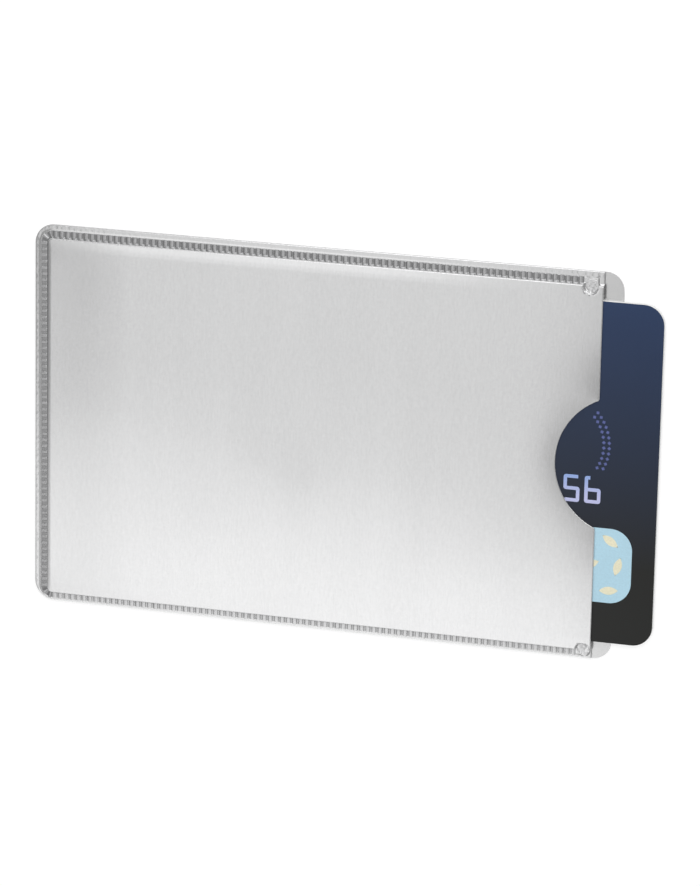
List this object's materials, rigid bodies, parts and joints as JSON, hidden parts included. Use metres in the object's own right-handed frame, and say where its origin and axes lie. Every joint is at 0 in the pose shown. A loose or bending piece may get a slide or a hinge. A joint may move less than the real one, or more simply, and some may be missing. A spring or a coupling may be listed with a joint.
{
  "type": "rfid card sleeve",
  "caption": "Flat silver shielding sleeve for a payment card, welded on three sides, with a thumb notch in its mouth and a chip card that slides out.",
  "frame": {"origin": "middle of the underside of the back film, its tab included", "axes": "+X along the sleeve towards its mouth, +Y across it towards the wider flange, +Z out of the front film"},
  "size_m": [0.1005, 0.0614, 0.0014],
  "materials": {
    "cover_film": "silver metallised film, satin, with a fine grain across the sleeve",
    "shield_foil": "thin bright foil",
    "liner_film": "matte light grey",
    "weld_bead": "fused film with a ribbed imprint",
    "tack_weld": "fused film, mottled",
    "card_back": "satin",
    "card_core": "white card stock",
    "card_inlay": "white",
    "antenna_copper": "bare copper",
    "card_face": "navy that turns black towards the lower edge, smooth",
    "chip_gold": "gold plated",
    "chip_carrier": "glass-fibre tape",
    "chip_resin": "black potting resin",
    "magnetic_stripe": "smooth",
    "signature_panel": "matte",
    "digit_ink": "lavender ink",
    "patch_ink": "light blue ink",
    "leaf_ink": "cream ink",
    "dot_ink": "blue-violet ink"
  },
  "bodies": {
    "sleeve": {"back_cover_film": "cover_film", "back_shield_foil": "shield_foil", "back_liner_film": "liner_film", "front_liner_film": "liner_film", "front_shield_foil": "shield_foil", "front_cover_film": "cover_film", "weld_seam_top": "weld_bead", "weld_seam_end": "weld_bead", "weld_seam_low": "weld_bead", "tack_weld_top": "tack_weld", "tack_weld_low": "tack_weld"},
    "card": {"card_back_print": "card_back", "card_back_core": "card_core", "card_inlay": "card_inlay", "card_antenna": "antenna_copper", "card_front_core": "card_core", "card_front_print": "card_face", "card_chip_contacts": "chip_gold", "card_chip_carrier": "chip_carrier", "card_chip_resin": "chip_resin", "card_magnetic_stripe": "magnetic_stripe", "card_signature_panel": "signature_panel", "card_digits": "digit_ink", "card_colour_patch": "patch_ink", "card_patch_leaves": "leaf_ink", "card_dots": "dot_ink"}
  },
  "joints": [
    {"name": "card_slide", "type": "slide", "parent": "sleeve", "child": "card", "axis": [1, 0, 0], "range_m": [-0.0112, 0.08]}
  ]
}
